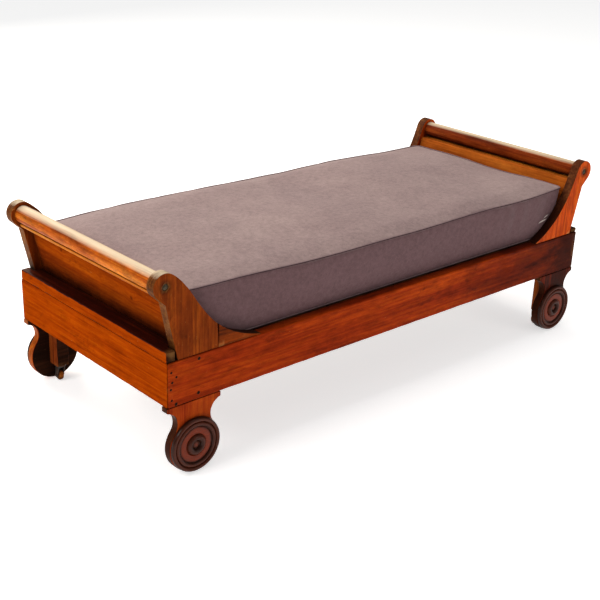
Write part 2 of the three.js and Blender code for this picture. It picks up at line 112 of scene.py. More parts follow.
# Knots in the head panel, as places and sizes, and the dirt round the pegs of the scrolls.
KNOTS = (((-0.913, 0.20, 0.530), 0.007), ((-0.905, -0.01, 0.505), 0.006), ((-0.902, -0.17, 0.490), 0.010))
EYE_SIZE = 0.026

# Keyhole feet.
DISC_RADIUS = 0.0885
COVE_OUT = 0.106
COVE_Z = 0.174
SHOULDER_HALF = 0.097

# The turned face of a roundel, as shares of its radius and of its thickness. A bead runs
# between two radii, from its base to its crest; the rest are plain points. The back gives its
# heights in metres.
ROUNDEL_BACK = ((0.0, 0.0003), (0.985, 0.0003), (1.0, 0.0015))
RIM_BEAD = (0.85, 1.0, 0.30, 0.86)
SECOND_BEAD = (0.68, 0.835, 0.26, 0.80)
FLAT_RING = ((0.66, 0.40), (0.62, 0.52), (0.53, 0.50), (0.44, 0.54), (0.405, 0.50), (0.39, 0.22))
BOSS_BEAD = (0.16, 0.375, 0.22, 1.0)
BUTTON = ((0.145, 0.30), (0.12, 0.46), (0.07, 0.56), (0, 0.6))

# One side of a caster's wheel, from its bore out to its tread, as radii and depths below the
# face of the hub. A radius of 0 or less is counted in from the tread.
WHEEL_SIDE = ((0.0034, 0), (0.008, 0), (0.0086, 0.0012), (-0.004, 0.001), (-0.0012, 0.0028), (0, 0.006))
IRON_ARRISES = {"plate": 0.0006, "horn": 0.0009, "axle": 0.0005}

# Nails and plugs on the front rail, as distances in from its head end and down from its top,
# or heights.
NAILS = ((0.014, 0.030), (0.017, 0.062), (0.012, 0.083), (0.015, 0.118), (0.032, 0.048))
NAIL_RADIUS = 0.0040
NAIL_HEIGHT = 0.0012
PLUGS = ((0.112, 0.364), (0.110, 0.255), (0.030, 0.243))
PLUG_RADIUS = 0.0055
PLUG_HEIGHT = 0.0009

# Mattress.
MATTRESS_HEAD_TOP = 0.562
MATTRESS_FOOT_TOP = 0.552
MATTRESS_BOTTOM_HALF = 0.365
MATTRESS_TOP_HALF = 0.366
MATTRESS_SIDE_BULGE = 0.020
MATTRESS_CORNER = 0.022
MATTRESS_END_LEAN = 0.030
MATTRESS_CROWN = 0.008
COLUMNS, ROWS, LAYERS = 96, 40, 10
CLOTH_FRAMES = 20
CLOTH_TRAVEL = 0.014
CLOTH_STILL_END = 0.25
SIDES_ARE_BELOW = 0.6
SEAM_WANDER = 0.010
TOP_SWELL = 0.008
SEAM_PULL = 0.0016
SEAM_PULL_REACH = 0.03
SLACK_FOLD = 0.0100
SLACK_FROM, SLACK_TO = 0.25, 0.75
PIPING_RADIUS = 0.0025

# Slits in the mattress side, as x, z, half length, half opening and slope.
SLITS = ((0.780, 0.441, 0.028, 0.0030, 0.10), (0.800, 0.455, 0.014, 0.0020, 0.30))
SLIT_STEPS = 12
SLIT_SIDES = 10
SLIT_PROUD = 0.0015

# Studio: name, place, aim, diameter, watts and colour of each lamp.
LAMPS = (
    ("key", (-4.2, 0.3, 3.3), (-0.2, 0, 0.4), 2.2, 84, (1, 0.98, 0.94)),
    ("top", (0.3, 0.6, 4.4), (0, 0, 0.4), 3.4, 52, (1, 1, 1)),
    ("behind", (-0.3, 5.0, 3.2), (0, 0, 0.5), 4.5, 290, (1, 0.94, 0.84)),
    ("front", (1.6, -4.4, 2.0), (0, 0, 0.3), 2.6, 24, (1, 0.98, 0.95)),
)
SKY_STRENGTH = 0.30
FLOOR_HALF = 60
FLOOR_GREY = 0.9
FLOOR_GLOW = 0.6
TINY = 1e-6


# ---- small helpers ----


def linear(red, green, blue):
    """A colour given as 0 to 255 screen values, for a shader."""
    channels = [value / 255 for value in (red, green, blue)]
    return tuple(c / 12.92 if c <= 0.04045 else ((c + 0.055) / 1.055) ** 2.4 for c in channels) + (1,)


def end_x(side, inward):
    return side * (HALF_LENGTH - inward)


def lerp(low, high, t):
    return low + (high - low) * t


def smoothstep(low, high, value):
    t = min(1.0, max(0.0, (value - low) / (high - low)))
    return t * t * (3 - 2 * t)


def object_from(bm, name, location=(0, 0, 0)):
    mesh = bpy.data.meshes.new(name)
    bm.to_mesh(mesh)
    bm.free()
    piece = bpy.data.objects.new(name, mesh)
    piece.location = location
    bpy.context.scene.collection.objects.link(piece)
    return piece


def smooth(piece, weighted=True):
    piece.data.shade_smooth()
    if weighted:
        normals = piece.modifiers.new("normals", "WEIGHTED_NORMAL")
        normals.keep_sharp = True
    return piece


def stand_for(piece, node, material):
    """The piece takes the place and the body of a CAD node, and the given material."""
    piece.data.materials.clear()
    piece.data.materials.append(material)
    bpy.context.view_layer.update()
    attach(piece, frame["nodes"][node]["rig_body"])
    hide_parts(node)
    return piece


def apply_modifiers(piece):
    graph = bpy.context.evaluated_depsgraph_get()
    mesh = bpy.data.meshes.new_from_object(piece.evaluated_get(graph))
    piece.modifiers.clear()
    piece.data = mesh


# ---- shader helpers ----


def add_node(tree, kind, inputs=None, **settings):
    made = tree.nodes.new(kind)
    for key, value in settings.items():
        setattr(made, key, value)
    for key, value in (inputs or {}).items():
        socket = made.inputs[key]
        if isinstance(value, bpy.types.NodeSocket):
            tree.links.new(value, socket)
        else:
            socket.default_value = value
    return made


def new_material(name):
    material = bpy.data.materials.new(name)
    material.use_nodes = True
    tree = material.node_tree
    return material, tree, tree.nodes["Principled BSDF"]


def object_coordinates(tree):
    return add_node(tree, "ShaderNodeTexCoord").outputs["Object"]


def scaled(tree, vector, scale):
    return add_node(tree, "ShaderNodeMapping", {"Vector": vector, "Scale": scale}).outputs[0]


def noise_value(tree, vector, scale, detail=4.0, roughness=0.55, distortion=0.0):
    inputs = {
        "Vector": vector,
        "Scale": scale,
        "Detail": detail,
        "Roughness": roughness,
        "Distortion": distortion,
    }
    return add_node(tree, "ShaderNodeTexNoise", inputs).outputs[0]


def remap(tree, value, low, high, to_low=0.0, to_high=1.0):
    inputs = {0: value, 1: low, 2: high, 3: to_low, 4: to_high}
    return add_node(tree, "ShaderNodeMapRange", inputs).outputs[0]


def math_node(tree, operation, first, second=0.0):
    return add_node(tree, "ShaderNodeMath", {0: first, 1: second}, operation=operation).outputs[0]


def mix_colour(tree, factor, first, second):
    inputs = {0: factor, 6: first, 7: second}
    return add_node(tree, "ShaderNodeMix", inputs, data_type="RGBA").outputs[2]


def shaded(tree, colour, share):
    """The colour multiplied by a number."""
    inputs = {0: colour, "Scale": share}
    return add_node(tree, "ShaderNodeVectorMath", inputs, operation="SCALE").outputs[0]


def upward(tree):
    """How far a face looks up: the Z of its normal."""
    normal = add_node(tree, "ShaderNodeNewGeometry").outputs["Normal"]
    return add_node(tree, "ShaderNodeSeparateXYZ", {0: normal}).outputs["Z"]


def roughen(tree, shader, height, strength, distance):
    inputs = {"Height": height, "Strength": strength, "Distance": distance}
    tree.links.new(add_node(tree, "ShaderNodeBump", inputs).outputs[0], shader.inputs["Normal"])


def colour_ramp(tree, factor, stops):
    made = add_node(tree, "ShaderNodeValToRGB", {0: factor})
    elements = made.color_ramp.elements
    while len(elements) < len(stops):
        elements.new(0.5)
    for element, (position, colour) in zip(elements, stops):
        element.position = position
        element.color = colour
    return made.outputs[0]


# ---- wood ----

GRAIN_AXES = {"X": 0, "Y": 1, "Z": 2}
# Dark brown for stains, dirt and knots, and also for the painted shade in the corners.
DIRT_AND_SHADE = linear(24, 9, 5)
# Dark red-brown that parts turn to towards one end or towards the bottom.
DARKER_TONE = linear(38, 11, 7)
WORN_EDGE = linear(214, 150, 84)
POLISH_TINT = (1.0, 0.55, 0.25, 1)
# Cream of the painted highlight on faces that look up.
HIGHLIGHT_CREAM = linear(238, 218, 184)


def along_grain(grain, along, across):
    scale = [across, across, across]
    scale[GRAIN_AXES[grain]] = along
    return tuple(scale)


def wood_tone(tree, place, fine, grain, patch_scale, figure):
    """Fine streaks, broad figure and cloudy patches, added up."""
    broad = noise_value(tree, scaled(tree, place, along_grain(grain, 0.9, 17)), 1.0, 5, 0.55, 0.6)
    patches = noise_value(tree, scaled(tree, place, along_grain(grain, 0.5, 1.5)), patch_scale, 4, 0.6)
    tone = math_node(tree, "MULTIPLY", broad, figure)
    tone = math_node(tree, "ADD", tone, math_node(tree, "MULTIPLY", fine, 0.75 - figure))
    return math_node(tree, "ADD", tone, math_node(tree, "MULTIPLY", patches, 0.25))


def blotched(tree, colour, place, grain, mottling):
    """Uneven polish, with small pale chips in it."""
    blotches = noise_value(tree, scaled(tree, place, along_grain(grain, 16, 44)), 1.0, 6, 0.75)
    colour = shaded(tree, colour, remap(tree, blotches, 0.3, 0.7, 1 - mottling, 1 + mottling))
    chips = noise_value(tree, scaled(tree, place, along_grain(grain, 60, 170)), 1.0, 3, 0.6)
    return mix_colour(tree, remap(tree, chips, 0.69, 0.77, 0.0, 1.2 * mottling), colour, WORN_EDGE)


def deepened(tree, colour, place, stains, axis, start, stop, amount):
    """Darker from one coordinate to another, with a ragged border."""
    along = add_node(tree, "ShaderNodeSeparateXYZ", {0: place}).outputs[axis]
    reach = 0.35 * abs(stop - start)
    ragged = remap(tree, stains, 0.3, 0.7, -reach, reach)
    shade = remap(tree, math_node(tree, "ADD", along, ragged), start, stop, 0.0, amount)
    return mix_colour(tree, shade, colour, DARKER_TONE)


def rubbed_through(tree, colour, wear):
    """Pale where an arris is worn through its polish."""
    ridges = add_node(tree, "ShaderNodeNewGeometry").outputs["Pointiness"]
    patchy = remap(tree, wear, 0.42, 0.62, 0.0, 0.6)
    bare = math_node(tree, "MULTIPLY", remap(tree, ridges, 0.54, 0.62), patchy)
    return mix_colour(tree, bare, colour, WORN_EDGE)


def painted_top_highlight(tree, colour, fine, start, stop, amount):
    """Painted highlight: cream where the face looks up, with a ragged border."""
    rim_jitter = remap(tree, fine, 0.3, 0.7, -0.07, 0.07)
    worn = remap(tree, math_node(tree, "ADD", upward(tree), rim_jitter), start, stop, 0.0, amount)
    return mix_colour(tree, worn, colour, HIGHLIGHT_CREAM)


def shade_in_corners(tree, colour, place, amount):
    """Painted shade: darker in the corners between boards and under parts, by ambient occlusion, broken
    up by noise.
    """
    corners = add_node(tree, "ShaderNodeAmbientOcclusion", {"Distance": 0.06}, samples=6)
    corners = remap(tree, corners.outputs["AO"], 0.35, 0.9, amount, 0.0)
    shade_breakup = noise_value(tree, place, 22, 4, 0.65)
    corners = math_node(tree, "MULTIPLY", corners, remap(tree, shade_breakup, 0.3, 0.6, 0.6, 1.0))
    return mix_colour(tree, corners, colour, DIRT_AND_SHADE)


def wood(
    name, grain, dark, mid, light, patch_scale=3.0, figure=0.35, gloss=0.34, polish=0.03,
    mottling=0.2, corner_shade=0.9, deepen=None, crown=None, knots=(),
):
    """French-polished wood: soft fine streaks along the grain, cloudy patches of tone, short
    dark pores, worn pale arrises, and painted shade in the corners between boards; a crown
    paints a cream highlight on the faces that look up. Its three tones are given as 0 to 255
    screen values."""
    material, tree, shader = new_material(name)
    dark, mid, light = (linear(*tone) for tone in (dark, mid, light))
    place = object_coordinates(tree)
    for centre, size in knots:
        place = bend_round(tree, place, centre, size)
    fine = noise_value(tree, scaled(tree, place, along_grain(grain, 4.0, 120)), 1.0, 6, 0.6, 0.3)
    tone = wood_tone(tree, place, fine, grain, patch_scale, figure)
    colour = colour_ramp(tree, tone, [(0.35, dark), (0.49, mid), (0.63, light)])
    pores = noise_value(tree, scaled(tree, place, along_grain(grain, 60, 1100)), 1.0, 2, 0.5)
    pores = remap(tree, pores, 0.58, 0.72)
    colour = mix_colour(tree, math_node(tree, "MULTIPLY", pores, 0.4), colour, dark)
    colour = blotched(tree, colour, place, grain, mottling)
    stains = noise_value(tree, scaled(tree, place, along_grain(grain, 2.0, 5.0)), 2.4, 6, 0.7, 0.4)
    colour = mix_colour(tree, remap(tree, stains, 0.58, 0.74, 0.0, 0.75), colour, DIRT_AND_SHADE)
    for centre, size in knots:
        colour = mix_colour(tree, near(tree, object_coordinates(tree), centre, size), colour, DIRT_AND_SHADE)
    if deepen:
        colour = deepened(tree, colour, place, stains, *deepen)
    wear = noise_value(tree, place, 14, 5, 0.6)
    colour = rubbed_through(tree, colour, wear)
    # Painted highlight: cream on the faces that look up.
    if crown:
        colour = painted_top_highlight(tree, colour, fine, *crown)
    # Painted shade: darker in the corners between boards.
    colour = shade_in_corners(tree, colour, place, corner_shade)
    tree.links.new(colour, shader.inputs["Base Color"])
    tree.links.new(remap(tree, wear, 0.3, 0.75, gloss, gloss + 0.2), shader.inputs["Roughness"])
    shader.inputs["Specular IOR Level"].default_value = polish
    shader.inputs["Specular Tint"].default_value = POLISH_TINT
    relief = math_node(tree, "ADD", math_node(tree, "MULTIPLY", pores, -0.4), fine)
    roughen(tree, shader, relief, 0.2, 0.0005)
    return material


def near(tree, place, centre, size):
    """1 at a centre, fading to 0 at a distance."""
    distance = add_node(tree, "ShaderNodeVectorMath", {0: place, 1: centre}, operation="DISTANCE")
    return remap(tree, distance.outputs["Value"], 0.3 * size, size, 0.9, 0.0)


def bend_round(tree, place, centre, size):
    """Pushes the grain up and down around a knot."""
    push = near(tree, place, centre, 4 * size)
    lift = math_node(tree, "MULTIPLY", push, 1.2 * size)
    lift = add_node(tree, "ShaderNodeCombineXYZ", {2: lift}).outputs[0]
    return add_node(tree, "ShaderNodeVectorMath", {0: place, 1: lift}, operation="ADD").outputs[0]


def roundel_wood():
    """Dark turned wood whose flat ring and button have worn back to red."""
    material, tree, shader = new_material("roundel_wood")
    place = object_coordinates(tree)
    across = scaled(tree, place, (1, 0, 1))
    radius = add_node(tree, "ShaderNodeVectorMath", {0: across}, operation="LENGTH").outputs["Value"]
    ragged = remap(tree, noise_value(tree, place, 30, 4, 0.6), 0.3, 0.7, -0.002, 0.002)
    distance = math_node(tree, "ADD", radius, ragged)
    share = math_node(tree, "DIVIDE", distance, ROUNDEL_RADIUS)
    black = linear(46, 22, 13)
    brown = linear(82, 36, 20)
    red = linear(122, 44, 18)
    rings = [(0.0, red), (0.1, brown), (0.18, black), (0.37, brown), (0.44, red)]
    rings += [(0.58, red), (0.67, black), (0.76, brown), (0.94, brown), (1.0, black)]
    colour = colour_ramp(tree, share, rings)
    grain = noise_value(tree, scaled(tree, place, (40, 40, 400)), 1.0, 3, 0.6)
    colour = mix_colour(tree, remap(tree, grain, 0.45, 0.75, 0.0, 0.5), colour, black)
    tree.links.new(colour, shader.inputs["Base Color"])
    shader.inputs["Roughness"].default_value = 0.34
    shader.inputs["Specular IOR Level"].default_value = 0.03
    shader.inputs["Coat Weight"].default_value = 0.22
    shader.inputs["Coat Roughness"].default_value = 0.12
    roughen(tree, shader, grain, 0.2, 0.0005)
    return material


def iron():
    material, tree, shader = new_material("old_iron")
    place = object_coordinates(tree)
    rust = remap(tree, noise_value(tree, place, 90, 5, 0.65), 0.45, 0.7)
    colour = mix_colour(tree, rust, linear(58, 55, 52), linear(86, 50, 30))
    tree.links.new(colour, shader.inputs["Base Color"])
    tree.links.new(remap(tree, rust, 0, 1, 0.42, 0.8), shader.inputs["Roughness"])
    shader.inputs["Metallic"].default_value = 0.8
    pits = noise_value(tree, place, 600, 3, 0.6)
    roughen(tree, shader, pits, 0.35, 0.0004)
    return material


def fabric(name, pale, deep, side, sheen=0.1):
    """Plain-woven cotton, painted lighter on top and darker on its sides, as light falls from above."""
    material, tree, shader = new_material(name)
    place = object_coordinates(tree)
    cloud = noise_value(tree, place, 2.6, 4, 0.6)
    fade = noise_value(tree, place, 11, 4, 0.6)
    fade = remap(tree, fade, 0.3, 0.7, -0.25, 0.25)
    tone = math_node(tree, "ADD", remap(tree, cloud, 0.3, 0.7), fade)
    colour = colour_ramp(tree, tone, [(0.0, deep), (1.0, pale)])
    # Painted shade: the side colour takes over where the face looks sideways or down.
    colour = mix_colour(tree, remap(tree, upward(tree), 0.25, 0.8), side, colour)
    slubs = noise_value(tree, scaled(tree, place, (220, 900, 900)), 1.0, 2, 0.6)
    slubs_across = noise_value(tree, scaled(tree, place, (900, 220, 220)), 1.0, 2, 0.6)
    threads = math_node(tree, "ADD", slubs, slubs_across)
    fuzz = remap(tree, noise_value(tree, place, 64, 6, 0.8), 0.3, 0.7, 0.76, 1.24)
    woven = remap(tree, threads, 0.75, 1.25, 0.9, 1.08)
    colour = shaded(tree, colour, math_node(tree, "MULTIPLY", woven, fuzz))
    tree.links.new(colour, shader.inputs["Base Color"])
    shader.inputs["Roughness"].default_value = 0.9
    shader.inputs["Sheen Weight"].default_value = sheen
    shader.inputs["Sheen Roughness"].default_value = 0.5
    shader.inputs["Specular IOR Level"].default_value = 0.2
    roughen(tree, shader, threads, 0.35, 0.0008)
    return material


# ---- boards with worn edges ----


def wear_edges(bm, depth, ripple=0.00025):
    """Pushes rounded edges inwards here and there, and lets the flats wander a little."""
    bm.normal_update()
    moves = []
    for vertex in bm.verts:
        normal = vertex.normal
        edge = min(1.0, 3.4 * (1 - max(abs(axis) for axis in normal)))
        dents = max(0.0, noise.noise(vertex.co * 23.0))
        dents += 0.6 * max(0.0, noise.noise(vertex.co * 61.0))
        wander = noise.noise(vertex.co * 7.0)
        moves.append(normal * (-depth * edge * dents + ripple * wander))
    for vertex, move in zip(bm.verts, moves):
        vertex.co += move


def slice_along(bm, axis, step):
    """Cuts every face at even steps, so that long edges can be worn unevenly."""
    low = min(vertex.co[axis] for vertex in bm.verts)
    high = max(vertex.co[axis] for vertex in bm.verts)
    normal = Vector((0, 0, 0))
    normal[axis] = 1
    cuts = int((high - low) / step)
    for i in range(1, cuts):
        at = Vector((0, 0, 0))
        at[axis] = lerp(low, high, i / cuts)
        geometry = bm.verts[:] + bm.edges[:] + bm.faces[:]
        bmesh.ops.bisect_plane(bm, geom=geometry, plane_co=at, plane_no=normal)


def round_edges(bm, radius, segments=3, sharper_than=30):
    limit = math.radians(sharper_than)
    inner = [edge for edge in bm.edges if len(edge.link_faces) == 2]
    bmesh.ops.bevel(
        bm,
        geom=[edge for edge in inner if edge.calc_face_angle() > limit],
        offset=radius,
        offset_type="OFFSET",
        segments=segments,
        profile=0.5,
        affect="EDGES",
        clamp_overlap=True,
    )


def face_with(piece, material, axis, sign):
    """Gives the faces that look along an axis a second material."""
    piece.data.materials.append(material)
    for face in piece.data.polygons:
        if face.normal[axis] * sign > 0.9:
            face.material_index = len(piece.data.materials) - 1


def edges_with(piece, material, joint_x=None):
    """Gives the sawn edges of a board that stands along X their own material, but not the edge
    that butts against the next board."""
    piece.data.materials.append(material)
    for face in piece.data.polygons:
        butted = joint_x is not None and abs(face.center.x - joint_x) < JOINT_MARGIN
        if abs(face.normal.y) < 0.6 and not butted:
            face.material_index = len(piece.data.materials) - 1


def board_from_node(node, material, axis, radius=0.003, depth=0.0018, step=0.018):
    """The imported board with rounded, worn arrises."""
    bm = bmesh.new()
    bm.from_mesh(frame["nodes"][node].data)
    bmesh.ops.remove_doubles(bm, verts=bm.verts, dist=1e-5)
    bmesh.ops.dissolve_limit(bm, angle_limit=0.02, verts=bm.verts, edges=bm.edges)
    round_edges(bm, radius)
    slice_along(bm, axis, step)
    wear_edges(bm, depth)
    return stand_for(smooth(object_from(bm, node + "_worn")), node, material)


def board_from_outline(name, outline, y0, y1, radius=0.0025, depth=0.0014, hole=None):
    """A board cut to an XZ outline, with worn edges and an optional round hole."""
    bm = bmesh.new()
    corners = [bm.verts.new((x, y0, z)) for x, z in outline]
    face = bm.faces.new(corners)
    moved = bmesh.ops.extrude_face_region(bm, geom=[face])["geom"]
    for item in moved:
        if isinstance(item, bmesh.types.BMVert):
            item.co.y = y1
    bmesh.ops.recalc_face_normals(bm, faces=bm.faces)
    round_edges(bm, radius)
    piece = object_from(bm, name)
    if hole:
        bore_through(piece, *hole)
    bm = bmesh.new()
    bm.from_mesh(piece.data)
    slice_along(bm, 0, 0.02)
    slice_along(bm, 2, 0.02)
    wear_edges(bm, depth)
    bm.to_mesh(piece.data)
    bm.free()
    return piece


def bore_through(piece, centre, radius):
    """Cuts a round hole along Y."""
    bm = bmesh.new()
    turn = Matrix.Translation(centre) @ Matrix.Rotation(math.radians(90), 4, "X")
    size = {"radius1": radius, "radius2": radius, "depth": 0.2}
    bmesh.ops.create_cone(bm, cap_ends=True, segments=40, matrix=turn, **size)
    drill = object_from(bm, "drill")
    cut = piece.modifiers.new("cut", "BOOLEAN")
    cut.object = drill
    cut.operation = "DIFFERENCE"
    cut.solver = "EXACT"
    apply_modifiers(piece)
    bpy.data.objects.remove(drill)


# ---- turned work ----


def join_rings(bm, rings):
    """Skins a row of rings of points. A ring of one point closes its end."""
    count = max(len(ring) for ring in rings)
    for first, second in zip(rings, rings[1:]):
        for i in range(count):
            j = (i + 1) % count
            if len(first) == 1 and len(second) == 1:
                continue
            if len(first) == 1:
                bm.faces.new((first[0], second[i], second[j]))
            elif len(second) == 1:
                bm.faces.new((first[j], first[i], second[0]))
            else:
                bm.faces.new((first[j], first[i], second[i], second[j]))
    bmesh.ops.recalc_face_normals(bm, faces=bm.faces)


def turned(profile, segments):
    """A solid of revolution about Y from (radius, along) points, closed on the axis."""
    bm = bmesh.new()
    rings = []
    for radius, along in profile:
        if radius < TINY:
            rings.append([bm.verts.new((0, along, 0))])
            continue
        ring = []
        for i in range(segments):
            angle = 2 * math.pi * i / segments
            ring.append(bm.verts.new((radius * math.sin(angle), along, radius * math.cos(angle))))
        rings.append(ring)
    join_rings(bm, rings)
    return bm


def half_round(inner, outer, base, height, steps=10):
    points = []
    for i in range(steps + 1):
        angle = math.pi * i / steps
        radius = (inner + outer) / 2 + (outer - inner) / 2 * math.cos(angle)
        points.append((radius, base + (height - base) * math.sin(angle) ** 0.8))
    return points


# ---- the four boards, ledges, panels and rolls ----


def make_box(woods):
    for side in SIDES:
        board_from_node(f"{side}_rail", woods["rail"], 0, radius=0.004, depth=0.003)
        board_from_node(f"{side}_cleat", woods["inside"], 0, step=0.1)
    for end in ENDS:
        board_from_node(f"{end}_end_board", woods["end"], 1, radius=0.0035, depth=0.0022)
        ledge = board_from_node(f"{end}_ledge_cap", woods["ledge"], 1, depth=0.003)
        face_with(ledge, woods["end"], 0, ENDS[end])
        for sign in SIDES.values():
            face_with(ledge, woods["inside"], 1, sign)
        panel = woods["panel" if end == "head" else "lit_panel"]
        board_from_node(f"{end}_panel", panel, 1, radius=0.002, depth=0.001, step=0.03)
        board_from_node(f"{end}_roll_rail", woods["roll_rail"], 1, depth=0.001, step=0.03)
    for node in frame["nodes"]:
        if node.startswith("base_board"):
            board_from_node(node, woods["inside"], 1, step=0.1)


def make_roll(end, material):
    low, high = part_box(f"{end}_roll")
    reach = high.y
    rows = 44
    profile = [(0, -reach)]
    for i in range(rows + 1):
        profile.append((ROLL_RADIUS, lerp(-reach, reach, i / rows)))
    profile.append((0, reach))
    bm = turned(profile, 72)
    round_edges(bm, 0.0015, segments=2, sharper_than=60)
    centre = (low + high) / 2
    for vertex in bm.verts:
        out = Vector((vertex.co.x, 0, vertex.co.z)).normalized()
        vertex.co += out * 0.0005 * noise.noise((vertex.co + centre) * 9.0)
    piece = smooth(object_from(bm, f"{end}_roll_turned", centre))
    stand_for(piece, f"{end}_roll", material)


# ---- scroll supports ----


def arc(centre, radius, start, stop, step=math.radians(5)):
    """Points on a circle, from one angle to another."""
    count = max(2, round(abs(stop - start) / step))
    angles = [lerp(start, stop, i / count) for i in range(count + 1)]
    return [(centre[0] + radius * math.cos(a), centre[1] + radius * math.sin(a)) for a in angles]


def straight(start, stop, step=0.015):
    count = max(1, round(math.dist(start, stop) / step))
    return [tuple(lerp(a, b, i / count) for a, b in zip(start, stop)) for i in range(1, count + 1)]


def inner_edge(edge, count=48):
    """The hollow edge of a support, from where it leaves the scroll down to its tip."""
    leave = math.radians(edge["leave"])
    start = (SCROLL_IN + SCROLL_RADIUS * math.cos(leave), SCROLL_Z + SCROLL_RADIUS * math.sin(leave))
    first = (start[0] + edge["pull"] * math.sin(leave), start[1] - edge["pull"] * math.cos(leave))
    points = []
    for i in range(count + 1):
        t = i / count
        weights = ((1 - t) ** 3, 3 * (1 - t) ** 2 * t, 3 * (1 - t) * t**2, t**3)
        corners = (start, first, edge["second"], edge["tip"])
        points.append(tuple(sum(w * c[k] for w, c in zip(weights, corners)) for k in (0, 1)))
    return points


def outer_edge_in(z):
    return NOTCH_IN + OUTER_SLOPE * (z - NOTCH_Z)


def support_outline(edge, stop_in):
    to_notch = math.atan2(NOTCH_Z - SCROLL_Z, NOTCH_IN - SCROLL_IN)
    distance = math.dist((SCROLL_IN, SCROLL_Z), (NOTCH_IN, NOTCH_Z))
    touch = to_notch - math.acos(SCROLL_RADIUS / distance) + 2 * math.pi
    points = arc((SCROLL_IN, SCROLL_Z), SCROLL_RADIUS, math.radians(edge["leave"]), touch)
    points += straight(points[-1], (NOTCH_IN, NOTCH_Z))
    points += straight(points[-1], (outer_edge_in(SUPPORT_BOTTOM), SUPPORT_BOTTOM))
    points += straight(points[-1], (min(stop_in, edge["tip"][0]), SUPPORT_BOTTOM))
    hollow = [point for point in inner_edge(edge) if point[0] < stop_in]
    points += reversed(hollow[1:])
    return points


def toe_outline(edge, start_in):
    hollow = [point for point in inner_edge(edge) if point[0] > start_in]
    slope = (hollow[1][1] - hollow[0][1]) / (hollow[1][0] - hollow[0][0])
    points = [(start_in, SUPPORT_BOTTOM)]
    points += straight(points[0], (edge["tip"][0], SUPPORT_BOTTOM))
    points += reversed(hollow)
    points.append((start_in, hollow[0][1] + slope * (start_in - hollow[0][0])))
    return points


def at_end(side, outline):
    return [(end_x(side, inward), z) for inward, z in outline]


def make_support(end, side_name, woods):
    end_side, side = ENDS[end], SIDES[side_name]
    edge = HEAD_EDGE if end == "head" else FOOT_EDGE
    node = f"{end}_{side_name}_scroll"
    y0, y1 = sorted((side * SUPPORT_INNER_Y, side * SUPPORT_OUTER_Y))
    stop_in = TOE_START_IN if end == "head" else math.inf
    outline = at_end(end_side, support_outline(edge, stop_in))
    hole = (Vector((end_x(end_side, SCROLL_IN), (y0 + y1) / 2, SCROLL_Z)), PEG_HOLE_RADIUS)
    piece = board_from_outline(node + "_sawn", outline, y0, y1, SUPPORT_ARRIS, hole=hole)
    stand_for(smooth(piece), node, woods[f"{end}_scroll"])
    joint_x = end_x(end_side, TOE_START_IN) if end == "head" else None
    edges_with(piece, woods[f"{end}_edge"], joint_x)
    if end == "head":
        outline = at_end(end_side, toe_outline(edge, TOE_START_IN + BUTT_GAP))
        piece = board_from_outline(node + "_toe_sawn", outline, y0, y1, TOE_ARRIS)
        stand_for(smooth(piece), node + "_toe", woods["toe"])
        edges_with(piece, woods["foot_edge"], joint_x)


def make_peg(end, side_name, material):
    """A dark peg with a slightly domed end, sunk in the middle of the scroll."""
    node = f"{end}_{side_name}_scroll_peg"
    low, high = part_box(node)
    centre = (low + high) / 2
    half = (high.y - low.y) / 2
    radius = (high.z - low.z) / 2
    profile = [(0, -half), (radius, -half), (radius, half - PEG_ARRIS), (0.9 * radius, half)]
    profile += [(0.5 * radius, half + 0.75 * PEG_DOME), (0, half + PEG_DOME)]
    profile = [(across, SIDES[side_name] * along) for across, along in profile]
    piece = smooth(object_from(turned(profile, 32), node + "_turned", centre))
    stand_for(piece, node, material)


# ---- feet ----


def foot_outline():
    top = RAIL_BOTTOM - BUTT_GAP
    cove_radius = math.hypot(COVE_OUT, COVE_Z - DISC_Z) - DISC_RADIUS
    rise = math.sqrt(cove_radius**2 - (COVE_OUT - SHOULDER_HALF) ** 2)
    to_cove = math.atan2(COVE_Z - DISC_Z, COVE_OUT)
    shoulder = math.atan2(rise, SHOULDER_HALF - COVE_OUT)
    left, right = FOOT_IN - SHOULDER_HALF, FOOT_IN + SHOULDER_HALF
    points = [(left, top)]
    points += straight((left, top), (right, top))
    points += arc((FOOT_IN + COVE_OUT, COVE_Z), cove_radius, shoulder, math.pi + to_cove)
    points += arc((FOOT_IN, DISC_Z), DISC_RADIUS, to_cove, -math.pi - to_cove)[1:]
    points += arc((FOOT_IN - COVE_OUT, COVE_Z), cove_radius, -to_cove, math.pi - shoulder)[1:]
    return points


def roundel_profile():
    """Two rounded rings, a flat ring, a fat boss and a small button, turned in one piece."""
    def bead(inner, outer, base, crest):
        radii = (inner * ROUNDEL_RADIUS, outer * ROUNDEL_RADIUS)
        return half_round(*radii, base * ROUNDEL_THICKNESS, crest * ROUNDEL_THICKNESS)

    def points(shares):
        return [(share * ROUNDEL_RADIUS, height * ROUNDEL_THICKNESS) for share, height in shares]

    profile = [(share * ROUNDEL_RADIUS, height) for share, height in ROUNDEL_BACK]
    profile += bead(*RIM_BEAD) + bead(*SECOND_BEAD) + points(FLAT_RING)
    return profile + bead(*BOSS_BEAD) + points(BUTTON)


def make_foot(end, side_name, woods):
    end_side, side = ENDS[end], SIDES[side_name]
    name = f"{end}_{side_name}"
    low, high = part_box(f"{name}_foot_board")
    outline = at_end(end_side, foot_outline())
    board = smooth(board_from_outline(f"{name}_foot_sawn", outline, low.y, high.y))
    stand_for(board, f"{name}_foot_board", woods["foot" if end == "head" else "shaded_foot"])
    face_with(board, woods["inside"], 1, -side)
    edges_with(board, woods["lit_edge" if name == "head_back" else "foot_edge"])
    bm = turned([(radius, side * along) for radius, along in roundel_profile()], 128)
    centre = (end_x(end_side, FOOT_IN), side * HALF_WIDTH, DISC_Z)
    roundel = smooth(object_from(bm, f"{name}_roundel_turned", centre), weighted=False)
    stand_for(roundel, f"{name}_roundel", woods["roundel"])
    post = board_from_node(f"{name}_post", woods["post"], 2, radius=0.002, depth=0.001)
    face_with(post, woods["inside"], 1, -side)


# ---- casters ----


